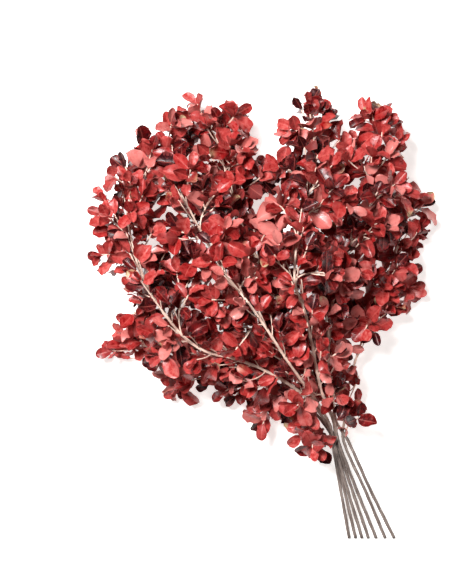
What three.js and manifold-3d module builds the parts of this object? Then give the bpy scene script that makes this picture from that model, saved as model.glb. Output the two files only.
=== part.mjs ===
// A bunch of seven cut, dried pittosporum stems that lies on a flat surface.
// The cut ends lie towards -Y, the leafy tops fan out towards +Y, and +Z is up off the surface.
// Each stem is one solid, with the few leafy shoots that grow straight from it.
// Each spray is one solid too: a side twig with its shoots and its leaves.
// All sizes are in millimetres. The origin is on the surface, under the middle of the bunch.

import * as THREE from "three";
import Module from "manifold-3d";

const wasm = await Module();
wasm.setup();

// Leaves are obovate, cupped and a little waved, and they stand in rosettes.
const LEAF_LENGTH = 36;
const LEAF_WIDTH_TO_LENGTH = 0.6;
const LEAF_THICKNESS = 1.4;
const LEAF_STALK_WIDTH = 1.5;
const LEAF_STATIONS = [0.38, 0.76];
const OUTLINE_LEAN = 1.3;
const OUTLINE_FULLNESS = 0.7;
const WAVE_ALONG = 7;
const WAVE_ACROSS = 2;

// How far single leaves differ. Each range is its least value and its spread.
const LENGTH_SHARE = [0.86, 0.26];
const WIDTH_SHARE = [0.85, 0.3];
const LENGTHWISE_BEND = [-0.95, 1.5];
const CUP = [0.1, 0.5];
const TWIST = [-0.4, 0.8];
const WAVE = [0, 0.25];
const UNEVEN = [-0.35, 0.7];
const FULL_TURN = [0, 2 * Math.PI];

// A leaf's upper face looks partly along its shoot and mostly up to the light.
const FACES_ALONG_SHOOT = 0.55;
const FACES_UP = 1.1;

// Wood gets thinner from the cut end to the last shoot.
const STEM_RADIUS_AT_CUT = 2.9;
const STEM_RADIUS_AT_TIP = 1.3;
const TWIG_RADIUS_AT_BASE = 1.3;
const TWIG_RADIUS_AT_TIP = 1.0;
const SHOOT_RADIUS = 1.0;
const SHOOT_LENGTH = 34;
const SEAT_GAP = 0.4;
const STEM_SIDES = 5;
const TWIG_SIDES = 4;
const BUD_SPAN = 1.8;
const TWIG_FILL_STATION = 0.1;
const SHOOT_FILL_STATION = 0.4;
const STEM_SHOOT_FILL_STATION = 0.25;

// A twig starts between its stem's direction and the straight way to its tip.
const TWIG_ALONG_STEM = 0.28;
const TWIG_STRAIGHT = 0.22;
const TWIG_BENDS = [
  [0, 0], [9, 0], [-9, 0], [0, 9], [0, -9], [18, 0], [-18, 0], [18, 18], [18, -18],
];
const FORK_LENGTH = 14;

// A shoot leaves its twig at this angle and then bends along it.
const SHOOT_ANGLE = 0.85;
const SHOOT_LENGTH_SHARE = [0.8, 0.4];
const SHOOT_OUT = 0.8;
const SHOOT_ALONG = 0.35;
const SHOOT_TURN_PER_TRY = 0.8;
const SHOOT_LEAST_HEIGHT = 10;

// Growth follows the golden angle, and each rosette holds this many leaves in the living plant.
// A rosette's inmost leaf lies close to the shoot's line. The others open out down the shoot in
// pairs, each pair at one place on it.
const GOLDEN_ANGLE = THREE.MathUtils.degToRad(137.5);
const ROSETTE_DEPTH = 11;
const INMOST_PITCH = THREE.MathUtils.degToRad(22);
const PITCH_SPREAD = THREE.MathUtils.degToRad(60);
const INMOST_LENGTH_SHARE = 0.74;
const ROSETTE_ORDER = 3;
const TWIG_ROSETTE = 8;
const SHOOT_ROSETTE = 7;
const LEAVES_KEPT = 3;
const SHOOT_STATIONS = [0.36, 0.57];

// Room that a leaf keeps to what is not part of its own spray, and to its own spray.
const CLEAR_OF_OTHERS = 6.5;
const CLEAR_OF_OWN = 5.5;
const CLEAR_AT_STALK = 3.4;
const STALK_SHARE = 0.3;
const CLEAR_OF_SURFACE = 0.8;
const CLEAR_OF_WOOD = 1.2;
const BEAD_STEP = 3;
const BEADS_ALONG = [0.2, 0.36, 0.52, 0.68, 0.84, 1];
const BEADS_ACROSS = [-0.8, 0, 0.8];
const TRIES = 8;
const LEAF_TURN_PER_TRY = 0.45;

// A side leaf leaves its shoot at no less than the angle with the first cosine.
// Seen along the shoot, the leaves of a pair stand apart by no less than that with the second.
const LEAST_OPENING = 0.7;
const LEAST_APART = -0.2;

// Stems bend most where they run together, after these points of their routes.
const GATHER_POINTS = [1, 2, 3];

const UP = new THREE.Vector3(0, 0, 1);

// The middle of the bunch's underside, measured on the finished bunch, moves to the origin.
const TO_ORIGIN = [-10, -5, -0.3];

const BARK = new THREE.MeshStandardMaterial({ color: 0x6f5d54, roughness: 0.85, metalness: 0 });
const LEAF_RED = new THREE.MeshStandardMaterial({ color: 0x973f3c, roughness: 0.45, metalness: 0 });

// Each stem's route runs from its cut end to its last fork.
// Each spray has the place on the route that it grows from, counted in route points,
// and then where its twig ends. So has each shoot that grows straight from the stem.
const STEMS = [
  {
    route: [
      [144, -343, 3], [130, -269, 20], [116, -195, 36], [107, -163, 46], [81, -127, 60],
      [49, -100, 76], [6, -75, 94], [-35, -59, 108], [-79, -47, 118], [-113, -23, 124],
      [-145, 17, 126], [-166, 51, 124], [-180, 85, 118], [-189, 121, 110], [-196, 160, 100],
      [-187, 193, 92], [-171, 215, 88],
    ],
    sprays: [
      [16, -162, 251, 84], [15, -194, 206, 104], [12.6, -230, 156, 106], [12.2, -226, 84, 92],
      [14.2, -178, 148, 76], [9, -82, 90, 134], [10.2, -183, 1, 84], [8.6, -130, -37, 138],
      [11, -123, 85, 104], [3.6, 87, -203, 58],
    ],
    shoots: [[9.6, -173, 58, 155], [13.3, -187, 158, 142]],
  },
  {
    route: [
      [154, -343, 3], [136, -269, 17], [119, -194, 31], [106, -167, 37], [78, -134, 41],
      [42, -111, 44], [4, -94, 44], [-33, -86, 42], [-69, -86, 38], [-95, -79, 34],
      [-128, -70, 30], [-158, -61, 26], [-176, -56, 23],
    ],
    sprays: [
      [12, -208, -40, 18], [10.5, -183, -22, 44], [8.6, -128, -106, 18], [7.3, -48, -74, 76],
      [5.8, -33, -120, 24], [5, 7, -157, 22], [8.3, -96, -6, 28],
    ],
    shoots: [[4.5, 28, -74, 22], [6.6, -40, -58, 24]],
  },
  {
    route: [
      [164, -343, 3], [141, -269, 22], [119, -194, 41], [109, -159, 52], [88, -124, 74],
      [64, -91, 97], [38, -54, 118], [8, -8, 132], [-17, 27, 138], [-44, 61, 138],
      [-67, 99, 130], [-88, 135, 120], [-106, 171, 108], [-126, 205, 97], [-138, 238, 90],
    ],
    sprays: [
      [14, -129, 287, 84], [10.9, -61, 188, 126], [12, -98, 226, 126], [10.3, -116, 129, 132],
      [9, -72, 86, 158], [8, -55, 14, 146], [7, -27, -33, 124], [8.4, -1, 70, 150],
    ],
    shoots: [[11.5, -112, 180, 78]],
  },
  {
    route: [
      [174, -343, 3], [148, -268, 20], [122.5, -193, 36], [116, -156, 40], [96, -112, 46],
      [69, -51, 52], [37, 16, 56], [6, 77, 58], [-18, 128, 60], [-37, 179, 60],
      [-51, 232, 60], [-63, 276, 58],
    ],
    sprays: [
      [11, -102, 309, 40], [10.6, -33, 309, 72], [9.6, -22, 256, 92], [8.95, 18, 216, 44],
      [8, -83, 158, 30], [6.25, -27, 26, 22], [6.6, 53, 111, 24],
    ],
    shoots: [[5.7, 19, 15, 83], [6, 56, 54, 42], [7.2, 17, 136, 82], [9.3, -53, 223, 22]],
  },
  {
    route: [
      [186, -343, 3], [155, -268, 22], [125.5, -192, 41], [117, -156, 53], [98, -115, 80],
      [86, -70, 105], [77, -27, 127], [66, 16, 141], [53, 52, 147], [54, 99, 143],
      [61, 143, 134], [72, 185, 122], [81, 229, 108], [82, 271, 97],
    ],
    sprays: [
      [13, 80, 321, 90], [8, 16, 90, 160], [8.1, 103, 67, 160], [10, 123, 175, 150],
      [10.7, 102, 222, 138], [11.3, 33, 226, 96], [12.6, 52, 284, 102], [5.3, 57, -38, 130],
      [4, 62, -128, 86],
    ],
    shoots: [[4.6, 115, -50, 130], [9.4, 30, 170, 124]],
  },
  {
    route: [
      [214, -343, 3], [176, -267, 20], [141, -191, 38], [120.5, -156, 42.5], [114, -109, 54],
      [108, -62, 68], [106, -16, 80], [113, 29, 88], [126, 76, 92], [142, 121, 92],
      [161, 170, 86], [177, 220, 78], [184, 262, 70],
    ],
    sprays: [
      [12, 166, 312, 50], [10.5, 134, 258, 84], [9.6, 204, 201, 108], [8, 124, 52, 130],
      [8.8, 190, 132, 120], [5.3, 131, -51, 30], [3.3, 117, -103, 82],
    ],
    shoots: [[5.8, 80, 9, 64], [9.2, 132, 169, 68], [11.1, 202, 258, 52]],
  },
  {
    route: [
      [200, -343, 3], [168, -268, 17], [134, -192, 33], [134, -156, 36], [139, -113, 37],
      [151, -64, 38], [170, -10, 38], [192, 44, 36], [211, 95, 34], [224, 137, 32],
    ],
    sprays: [
      [9, 236, 180, 26], [8, 176, 139, 20], [7, 240, 44, 20], [6.35, 162, -16, 80],
      [2.2, 142, -146, 52],
    ],
    shoots: [[6.65, 193, 50, 66]],
  },
];

// Repeatable draws, each from a range given as its least value and its spread.
function drawsFrom(seed) {
  const modulus = 2147483647;
  let state = (seed * 7919 + 12345) % modulus;
  return ([least, spread]) => {
    state = (state * 48271) % modulus;
    return least + (spread * state) / modulus;
  };
}

// Two unit vectors square to an axis, the first of them level.
function sidesOf(axis) {
  const level = new THREE.Vector3().crossVectors(axis, UP);
  if (level.length() < 0.01) {
    level.set(1, 0, 0);
  }
  level.normalize();
  const raised = new THREE.Vector3().crossVectors(level, axis).normalize();
  return [level, raised];
}

// A direction that leans away from an axis by pitch, on the side that azimuth gives.
function leaning(axis, azimuth, pitch) {
  const [level, raised] = sidesOf(axis);
  const out = level.multiplyScalar(Math.cos(azimuth)).addScaledVector(raised, Math.sin(azimuth));
  return axis.clone().multiplyScalar(Math.cos(pitch)).addScaledVector(out, Math.sin(pitch));
}

// Points already taken, sorted into cubes so that near ones are found quickly.
// No room that is asked for is wider than the widest one here.
const CUBE = 8;
const WIDEST_ROOM = 10;
const taken = new Map();

function take(point, radius, owner, along = 0) {
  const key = point.toArray().map((part) => Math.floor(part / CUBE)).join();
  if (!taken.has(key)) {
    taken.set(key, []);
  }
  taken.get(key).push({ point, radius, owner, along });
}

// True where nothing taken is closer to a point than room allows.
function isClear(point, room) {
  const low = point.toArray().map((part) => Math.floor((part - WIDEST_ROOM) / CUBE));
  const high = point.toArray().map((part) => Math.floor((part + WIDEST_ROOM) / CUBE));
  for (let i = low[0]; i <= high[0]; i += 1) {
    for (let j = low[1]; j <= high[1]; j += 1) {
      for (let k = low[2]; k <= high[2]; k += 1) {
        for (const other of taken.get([i, j, k].join()) ?? []) {
          const least = room(other);
          if (least > 0 && point.distanceTo(other.point) < least) {
            return false;
          }
        }
      }
    }
  }
  return true;
}

// Adds points to a growing solid and gives their numbers back.
function addRing(growth, corners) {
  const first = growth.points.length;
  growth.points.push(...corners);
  return corners.map((corner, index) => first + index);
}

// Adds the wall between two rings of equal count, apart from the sides that are left open.
// The lower half is split the other way, so that thin blades keep parallel faces.
function addWall(growth, from, to, openSides = []) {
  const sides = from.length;
  for (let side = 0; side < sides; side += 1) {
    const next = (side + 1) % sides;
    if (openSides.includes(side)) {
      continue;
    }
    if (side < sides / 2) {
      growth.faces.push([from[side], from[next], to[next]], [from[side], to[next], to[side]]);
    } else {
      growth.faces.push([from[side], from[next], to[side]], [from[next], to[next], to[side]]);
    }
  }
}

// Closes the last ring, or with the ring reversed the first one.
function addCap(growth, ring) {
  for (let side = 1; side < ring.length - 1; side += 1) {
    growth.faces.push([ring[0], ring[side], ring[side + 1]]);
  }
}

// The corners of a round section, the first of them towards level.
function section(point, axis, level, radius, sides) {
  const raised = new THREE.Vector3().crossVectors(axis, level);
  const corners = [];
  for (let side = 0; side < sides; side += 1) {
    const angle = (2 * Math.PI * side) / sides;
    const corner = point.clone().addScaledVector(level, radius * Math.cos(angle));
    corners.push(corner.addScaledVector(raised, radius * Math.sin(angle)));
  }
  return corners;
}

// The middle of a ring.
function middleOf(growth, ring) {
  const middle = new THREE.Vector3();
  ring.forEach((corner) => middle.add(growth.points[corner]));
  return middle.divideScalar(ring.length);
}

// The side of the wall between two rings that faces a direction best, apart from the open ones.
function sideFacing(growth, from, to, heading, openSides) {
  const middle = middleOf(growth, [...from, ...to]);
  let best = -Infinity;
  let found = 0;
  from.forEach((corner, side) => {
    const next = (side + 1) % from.length;
    const face = middleOf(growth, [corner, from[next], to[side], to[next]]).sub(middle).normalize();
    const facing = face.dot(heading);
    if (facing > best && !openSides.includes(side)) {
      best = facing;
      found = side;
    }
  });
  return found;
}

// The places along some wood that get a ring of corners, and the buds that open just before each.
// Buds at one place share its two rings.
function stationsOf(wood, buds) {
  const halfSpan = BUD_SPAN / 2 / wood.curve.getLength();
  const budParts = [...new Set(buds.map((bud) => bud.part))].filter((part) => part < 1);
  const isFree = (part) => budParts.every((budPart) => Math.abs(budPart - part) > 2 * halfSpan);
  const stations = [...wood.fill.filter(isFree), 1].map((part) => ({ part, buds: [] }));
  for (const part of budParts) {
    stations.push({ part: part - halfSpan, buds: [] });
    stations.push({ part: part + halfSpan, buds: buds.filter((bud) => bud.part === part) });
  }
  return stations.sort((one, other) => one.part - other.part);
}

// Grows wood along a curve. It starts from an open wall, or with a cap where there is none,
// opens a wall for each bud, and ends in the last bud or in a cap.
function growWood(growth, wood, root, allBuds) {
  const stations = stationsOf(wood, allBuds);
  if (!root) {
    stations.unshift({ part: 0, buds: [] });
  }
  let ring = root;
  let level = root ? growth.points[root[0]].clone().sub(middleOf(growth, root)) : null;
  for (const { part, buds } of stations) {
    const axis = wood.curve.getTangent(part);
    level = level ? level.addScaledVector(axis, -level.dot(axis)).normalize() : sidesOf(axis)[0];
    const radius = THREE.MathUtils.lerp(wood.fromRadius, wood.toRadius, part);
    const point = wood.curve.getPoint(part).addScaledVector(axis, part === 1 ? wood.past : 0);
    const next = addRing(growth, section(point, axis, level, radius, wood.sides));
    const openSides = [];
    for (const bud of buds) {
      const side = sideFacing(growth, ring, next, bud.heading, openSides);
      const over = (side + 1) % wood.sides;
      openSides.push(side);
      bud.grow([ring[side], ring[over], next[over], next[side]]);
    }
    if (ring) {
      addWall(growth, ring, next, openSides);
    } else {
      addCap(growth, [...next].reverse());
    }
    ring = next;
  }
  const end = allBuds.find((bud) => bud.part === 1);
  if (end) {
    end.grow(ring);
  } else {
    addCap(growth, ring);
  }
}

// Grows a leaf from an open wall: a thin blade, sharp all round and thickest on its rib.
function growLeaf(growth, leaf, root) {
  const half = LEAF_THICKNESS / 2;
  const middle = middleOf(growth, root);
  const reach = root.map((corner) => growth.points[corner].clone().sub(middle).dot(leaf.side));
  const start = reach.indexOf(Math.max(...reach));
  let ring = root.map((corner, index) => root[(index + start) % root.length]);
  for (const along of LEAF_STATIONS) {
    const next = addRing(growth, [
      leafPoint(leaf, along, 1, 0),
      leafPoint(leaf, along, 0, half),
      leafPoint(leaf, along, -1, 0),
      leafPoint(leaf, along, 0, -half),
    ]);
    addWall(growth, ring, next);
    ring = next;
  }
  const [tip] = addRing(growth, [leafPoint(leaf, 1, 0, 0)]);
  ring.forEach((corner, side) => growth.faces.push([corner, ring[(side + 1) % 4], tip]));
}

// A finished solid from a growth.
function solidFrom(growth) {
  const mesh = new wasm.Mesh({
    numProp: 3,
    vertProperties: new Float32Array(growth.points.flatMap((point) => point.toArray())),
    triVerts: new Uint32Array(growth.faces.flat()),
  });
  return new wasm.Manifold(mesh);
}

// Points with radii along a curve, tapering evenly from its start to its end.
function taper(curve, steps, fromRadius, toRadius) {
  const samples = [];
  for (let step = 0; step <= steps; step += 1) {
    const part = step / steps;
    const radius = THREE.MathUtils.lerp(fromRadius, toRadius, part);
    samples.push({ point: curve.getPoint(part), radius });
  }
  return samples;
}

// Takes the room that a wood curve fills.
function takeWood(wood) {
  const steps = Math.ceil(wood.curve.getLength() / BEAD_STEP);
  for (const sample of taper(wood.curve, steps, wood.fromRadius, wood.toRadius)) {
    take(sample.point, sample.radius, wood.owner);
  }
}

// Half the leaf's width at a share of its length, as a share of its greatest half width.
function leafOutline(along) {
  return Math.sin(Math.PI * along ** OUTLINE_LEAN) ** OUTLINE_FULLNESS;
}

// A point on a leaf's middle surface: along runs from stalk to tip, across from edge to edge.
function leafPoint(leaf, along, across, lift) {
  const turn = leaf.bend * along;
  const forward = (leaf.length * Math.sin(turn)) / leaf.bend;
  const rise = (leaf.length * (1 - Math.cos(turn))) / leaf.bend;
  const twist = leaf.twist * along;
  const halfWidth = Math.max(leaf.halfWidth * leafOutline(along), LEAF_STALK_WIDTH / 2);
  const ripple = Math.sin(leaf.wavePhase + WAVE_ALONG * along + WAVE_ACROSS * across);
  const wave = leaf.wave * ripple * along;
  const normalLift = halfWidth * across * across * (leaf.cup + wave) + lift;
  const side = across * halfWidth;
  const sideways = side * Math.cos(twist) - normalLift * Math.sin(twist);
  const upwards = side * Math.sin(twist) + normalLift * Math.cos(twist);
  const point = leaf.root.clone();
  point.addScaledVector(leaf.heading, forward - upwards * Math.sin(turn));
  point.addScaledVector(leaf.normal, rise + upwards * Math.cos(turn));
  return point.addScaledVector(leaf.side, sideways);
}

// Points spread over a leaf that stand for it when room is tested.
function leafBeads(leaf) {
  const beads = [];
  for (const along of BEADS_ALONG) {
    for (const across of BEADS_ACROSS) {
      beads.push({ along, point: leafPoint(leaf, along, across, 0) });
    }
  }
  return beads;
}

// A leaf at a seat on its shoot, turned a little further at each try.
function leafAt(seat, attempt) {
  const draw = drawsFrom(seat.seed);
  const azimuth = seat.azimuth + LEAF_TURN_PER_TRY * Math.ceil(attempt / 2) * (attempt % 2 ? 1 : -1);
  const length = seat.length * draw(LENGTH_SHARE);
  const heading = leaning(seat.axis, azimuth, seat.pitch);
  heading.z = Math.max(heading.z, (CLEAR_OF_SURFACE - seat.point.z) / length);
  heading.normalize();
  const normal = leaning(seat.axis, azimuth, seat.pitch - Math.PI / 2).multiplyScalar(FACES_ALONG_SHOOT);
  normal.addScaledVector(UP, FACES_UP);
  normal.x += draw(UNEVEN);
  normal.y += draw(UNEVEN);
  normal.z += draw(UNEVEN);
  normal.addScaledVector(heading, -normal.dot(heading)).normalize();
  return {
    part: seat.part,
    root: seat.point,
    heading,
    normal,
    side: new THREE.Vector3().crossVectors(normal, heading),
    length,
    halfWidth: (length * LEAF_WIDTH_TO_LENGTH * draw(WIDTH_SHARE)) / 2,
    bend: draw(LENGTHWISE_BEND),
    cup: draw(CUP),
    twist: draw(TWIST),
    wave: draw(WAVE),
    wavePhase: draw(FULL_TURN),
  };
}

// The way that a leaf stands out from its shoot's axis.
function outOf(leaf, axis) {
  return leaf.heading.clone().addScaledVector(axis, -leaf.heading.dot(axis)).normalize();
}

// Tries a seat's leaf until it is clear, and takes its room. Gives null where it never is.
function placeLeaf(seat, owner, before) {
  const mate = before.find((leaf) => leaf.part === seat.part);
  for (let attempt = 0; attempt < TRIES; attempt += 1) {
    const leaf = leafAt(seat, attempt);
    const beads = leafBeads(leaf);
    const opens = leaf.part === 1 || leaf.heading.dot(seat.axis) < LEAST_OPENING;
    const apart = !mate || outOf(leaf, seat.axis).dot(outOf(mate, seat.axis)) < LEAST_APART;
    const clear = opens && apart && beads.every((bead) => {
      const room = (other) => {
        const isWood = other.radius > 0;
        if (other.owner !== owner) {
          return CLEAR_OF_OTHERS + (isWood ? other.radius - 1 : 0);
        }
        const isStalk = bead.along < STALK_SHARE || (!isWood && other.along < STALK_SHARE);
        return isStalk ? CLEAR_AT_STALK : CLEAR_OF_OWN;
      };
      return bead.point.z > CLEAR_OF_SURFACE && isClear(bead.point, room);
    });
    if (clear) {
      beads.forEach((bead) => take(bead.point, 0, owner, bead.along));
      return leaf;
    }
  }
  return null;
}

// True where a wood curve keeps clear of all other wood, apart from where it grows out.
function woodIsClear(curve, radius, owner, skipNear) {
  const steps = Math.ceil(curve.getLength() / BEAD_STEP);
  for (let step = 0; step <= steps; step += 1) {
    const point = curve.getPoint(step / steps);
    const nearBase = point.distanceTo(curve.getPoint(0)) < skipNear;
    const room = (other) => (other.owner === owner || nearBase ? 0 : radius + other.radius + CLEAR_OF_WOOD);
    if (point.z < radius + CLEAR_OF_SURFACE || !isClear(point, room)) {
      return false;
    }
  }
  return true;
}

// The side twig of a spray, bent up, down or aside until it clears all other wood.
function twigFor(stem, spray, owner) {
  const [place, ...end] = spray;
  const part = place / (stem.points.length - 1);
  const base = stem.curve.getPoint(part);
  const tip = new THREE.Vector3(...end);
  const reach = base.distanceTo(tip);
  const straight = tip.clone().sub(base).normalize();
  const start = stem.curve.getTangent(part).multiplyScalar(TWIG_ALONG_STEM);
  start.addScaledVector(straight, TWIG_STRAIGHT);
  const aside = sidesOf(straight)[0];
  for (const [rise, shift] of TWIG_BENDS) {
    const middle = base.clone().addScaledVector(start, reach);
    middle.addScaledVector(aside, shift).addScaledVector(UP, rise);
    const curve = new THREE.QuadraticBezierCurve3(base, middle, tip);
    if (woodIsClear(curve, TWIG_RADIUS_AT_BASE, owner, FORK_LENGTH)) {
      return curve;
    }
  }
  throw new Error("no clear way for " + owner);
}

// A shoot that grows off a twig and bends back towards the twig's own direction.
function shootFor(twig, part, azimuth, length, owner) {
  const base = twig.getPoint(part);
  const axis = twig.getTangent(part);
  for (let attempt = 0; attempt < TRIES; attempt += 1) {
    const out = leaning(axis, azimuth + SHOOT_TURN_PER_TRY * attempt, SHOOT_ANGLE);
    const middle = base.clone().addScaledVector(out, length / 2);
    const tip = base.clone().addScaledVector(out, SHOOT_OUT * length);
    tip.addScaledVector(axis, SHOOT_ALONG * length);
    tip.z = Math.max(tip.z, SHOOT_LEAST_HEIGHT);
    const curve = new THREE.QuadraticBezierCurve3(base, middle, tip);
    if (woodIsClear(curve, SHOOT_RADIUS, owner, 0)) {
      return curve;
    }
  }
  return null;
}

// Seats of the rosette at a shoot's end. The first seats stand evenly round it.
function rosetteSeats(curve, count, seed) {
  const turn = drawsFrom(seed)(FULL_TURN);
  const length = curve.getLength();
  const levelOf = (index) => ((index * ROSETTE_ORDER) % count) / (count - 1);
  const seats = [];
  for (let index = 0; index < count; index += 1) {
    const level = levelOf(index);
    const pairLevel = levelOf(Math.max(index - 1 + (index % 2), 0));
    const part = 1 - (1 + ROSETTE_DEPTH * pairLevel) / length;
    seats.push({
      part: index === 0 ? 1 : part,
      point: curve.getPoint(part),
      axis: curve.getTangent(part),
      azimuth: turn + index * GOLDEN_ANGLE,
      pitch: INMOST_PITCH + PITCH_SPREAD * level,
      length: LEAF_LENGTH * THREE.MathUtils.lerp(INMOST_LENGTH_SHARE, 1, level),
      seed: seed * 31 + index,
    });
  }
  return seats;
}

// Lays out one stem, and takes its room.
function layStem(stem, number) {
  const points = stem.route.map((place) => new THREE.Vector3(...place));
  const curve = new THREE.CatmullRomCurve3(points, false, "catmullrom", 0.5);
  const places = points.map((point, index) => index).slice(1, -1);
  places.push(...GATHER_POINTS.map((index) => index + 0.5));
  const wood = {
    owner: "stem_" + number,
    curve,
    fromRadius: STEM_RADIUS_AT_CUT,
    toRadius: STEM_RADIUS_AT_TIP,
    sides: STEM_SIDES,
    fill: places.map((place) => place / (points.length - 1)),
    past: 0,
  };
  takeWood(wood);
  return { ...wood, points, number, branches: stem, shoots: [] };
}

// Thin wood that bears leaves, with its room taken.
function layTwig(owner, curve, fromRadius, toRadius, fillStation) {
  const wood = { owner, curve, fromRadius, toRadius, sides: TWIG_SIDES, fill: [fillStation], past: 0 };
  takeWood(wood);
  return wood;
}

// Lays out the shoots that grow straight from a stem.
function layStemShoots(stem) {
  stem.branches.shoots.forEach((shoot) => {
    const curve = twigFor(stem, shoot, stem.owner);
    const wood = layTwig(
      stem.owner, curve, TWIG_RADIUS_AT_BASE, TWIG_RADIUS_AT_TIP, STEM_SHOOT_FILL_STATION,
    );
    stem.shoots.push({ ...wood, part: shoot[0] / (stem.points.length - 1) });
  });
}

// Lays out the wood of one spray.
function layWood(stem, spray, number) {
  const owner = "spray_" + stem.number + "_" + number;
  const seed = 100 * stem.number + number;
  const draw = drawsFrom(seed);
  const curve = twigFor(stem, spray, owner);
  const twig = layTwig(owner, curve, TWIG_RADIUS_AT_BASE, TWIG_RADIUS_AT_TIP, TWIG_FILL_STATION);
  const turn = draw(FULL_TURN);
  const shoots = [];
  SHOOT_STATIONS.forEach((part, index) => {
    const length = SHOOT_LENGTH * draw(SHOOT_LENGTH_SHARE);
    const shoot = shootFor(curve, part, turn + index * GOLDEN_ANGLE, length, owner);
    if (shoot) {
      shoots.push({ ...layTwig(owner, shoot, SHOOT_RADIUS, SHOOT_RADIUS, SHOOT_FILL_STATION), part });
    }
  });
  return { owner, seed, stem, twig, shoots };
}

// The leaves of a rosette that stand clear.
function layRosette(wood, count, seed) {
  const leaves = [];
  for (const seat of rosetteSeats(wood.curve, count, seed).slice(0, LEAVES_KEPT)) {
    const leaf = placeLeaf(seat, wood.owner, leaves);
    if (leaf) {
      leaves.push(leaf);
    }
  }
  return leaves;
}

// The buds of some wood: one for each leaf, and one for each shoot with the leaves that it bears.
function budsOf(growth, leaves, shoots) {
  const leafBuds = leaves.map((leaf) => ({
    part: leaf.part,
    heading: leaf.heading,
    grow: (root) => growLeaf(growth, leaf, root),
  }));
  const shootBuds = shoots.map((shoot) => ({
    part: shoot.part,
    heading: shoot.curve.getTangent(0),
    grow: (root) => growWood(growth, shoot, root, budsOf(growth, shoot.leaves, [])),
  }));
  return [...leafBuds, ...shootBuds];
}

// A stem's solid with its shoots.
function stemSolid(stem) {
  const growth = { points: [], faces: [] };
  growWood(growth, stem, null, budsOf(growth, [], stem.shoots));
  return solidFrom(growth);
}

// The room round a stem that its sprays keep clear of.
function seatSolid(stem) {
  const growth = { points: [], faces: [] };
  const fromRadius = stem.fromRadius + SEAT_GAP;
  const toRadius = stem.toRadius + SEAT_GAP;
  growWood(growth, { ...stem, fromRadius, toRadius, past: SEAT_GAP }, null, []);
  return solidFrom(growth);
}

// A spray's solid: its twig, with a bud for each shoot and leaf, cut to its seat on the stem.
function spraySolid(spray) {
  const growth = { points: [], faces: [] };
  growWood(growth, spray.twig, null, budsOf(growth, spray.leaves, spray.shoots));
  const pieces = solidFrom(growth).subtract(seatSolid(spray.stem)).decompose();
  pieces.sort((one, other) => other.volume() - one.volume());
  return pieces[0];
}

// A named mesh from a finished solid.
function meshOf(name, solid, material) {
  const data = solid.getMesh();
  const geometry = new THREE.BufferGeometry();
  geometry.setAttribute("position", new THREE.BufferAttribute(data.vertProperties, data.numProp));
  geometry.setIndex(new THREE.BufferAttribute(data.triVerts, 1));
  geometry.computeVertexNormals();
  const mesh = new THREE.Mesh(geometry, material);
  mesh.name = name;
  return mesh;
}

const bunch = new THREE.Group();
bunch.position.set(...TO_ORIGIN);
const stems = STEMS.map((stem, index) => layStem(stem, index + 1));
const sprays = stems.flatMap((stem) =>
  stem.branches.sprays.map((spray, index) => layWood(stem, spray, index + 1)),
);
stems.forEach(layStemShoots);

for (const spray of sprays) {
  spray.leaves = layRosette(spray.twig, TWIG_ROSETTE, spray.seed * 10);
  spray.shoots.forEach((shoot, index) => {
    shoot.leaves = layRosette(shoot, SHOOT_ROSETTE, spray.seed * 10 + index + 1);
  });
}
for (const stem of stems) {
  stem.shoots.forEach((shoot, index) => {
    shoot.leaves = layRosette(shoot, SHOOT_ROSETTE, stem.number * 10000 + index);
  });
  bunch.add(meshOf(stem.owner, stemSolid(stem), BARK));
}
for (const spray of sprays) {
  bunch.add(meshOf(spray.owner, spraySolid(spray), LEAF_RED));
}

export default bunch;
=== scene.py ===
# A bunch of seven cut, dried pittosporum stems that lies on a pale floor and is seen from above.
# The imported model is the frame. The layout below is the one that its solids have, in millimetres.
# Finer wood and leaves are built on that layout and stand for those solids, and more leaves fill
# the sprays as densely as the photograph shows them.

import itertools
import math
from dataclasses import dataclass, field

import bpy
import numpy as np
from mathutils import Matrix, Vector


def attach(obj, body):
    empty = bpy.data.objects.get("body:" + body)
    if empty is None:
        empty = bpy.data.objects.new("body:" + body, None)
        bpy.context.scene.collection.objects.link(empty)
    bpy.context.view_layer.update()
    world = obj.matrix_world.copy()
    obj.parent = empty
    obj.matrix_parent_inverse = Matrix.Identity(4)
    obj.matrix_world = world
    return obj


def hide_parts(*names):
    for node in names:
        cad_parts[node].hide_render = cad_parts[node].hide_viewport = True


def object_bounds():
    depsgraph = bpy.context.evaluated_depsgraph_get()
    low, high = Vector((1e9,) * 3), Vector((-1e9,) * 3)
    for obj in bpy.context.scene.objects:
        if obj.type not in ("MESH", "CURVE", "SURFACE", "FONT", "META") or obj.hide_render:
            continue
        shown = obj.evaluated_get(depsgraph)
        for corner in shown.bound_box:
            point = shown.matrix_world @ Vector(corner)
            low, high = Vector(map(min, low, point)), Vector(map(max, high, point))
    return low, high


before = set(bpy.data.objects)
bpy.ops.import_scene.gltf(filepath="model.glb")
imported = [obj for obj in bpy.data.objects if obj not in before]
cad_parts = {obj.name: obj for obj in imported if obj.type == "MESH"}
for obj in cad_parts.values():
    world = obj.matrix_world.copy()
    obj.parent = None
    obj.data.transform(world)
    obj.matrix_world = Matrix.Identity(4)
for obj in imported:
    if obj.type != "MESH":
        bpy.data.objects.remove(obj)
cad_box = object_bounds()

METRES = 0.001

# The middle of the bunch's underside lies at the frame's origin.
TO_ORIGIN = np.array([-10.0, -5.0, -0.3])

# Leaves are obovate, cupped and a little waved, and they stand in rosettes. The shown leaves are
# rounder than the solids' leaves.
LEAF_LENGTH = 36
LEAF_WIDTH_TO_LENGTH = 0.6
LEAF_STALK_WIDTH = 1.5
OUTLINE_LEAN = 1.3
OUTLINE_FULLNESS = 0.7
SHOWN_FULLNESS = 0.52
WAVE_ALONG = 7
WAVE_ACROSS = 2

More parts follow.
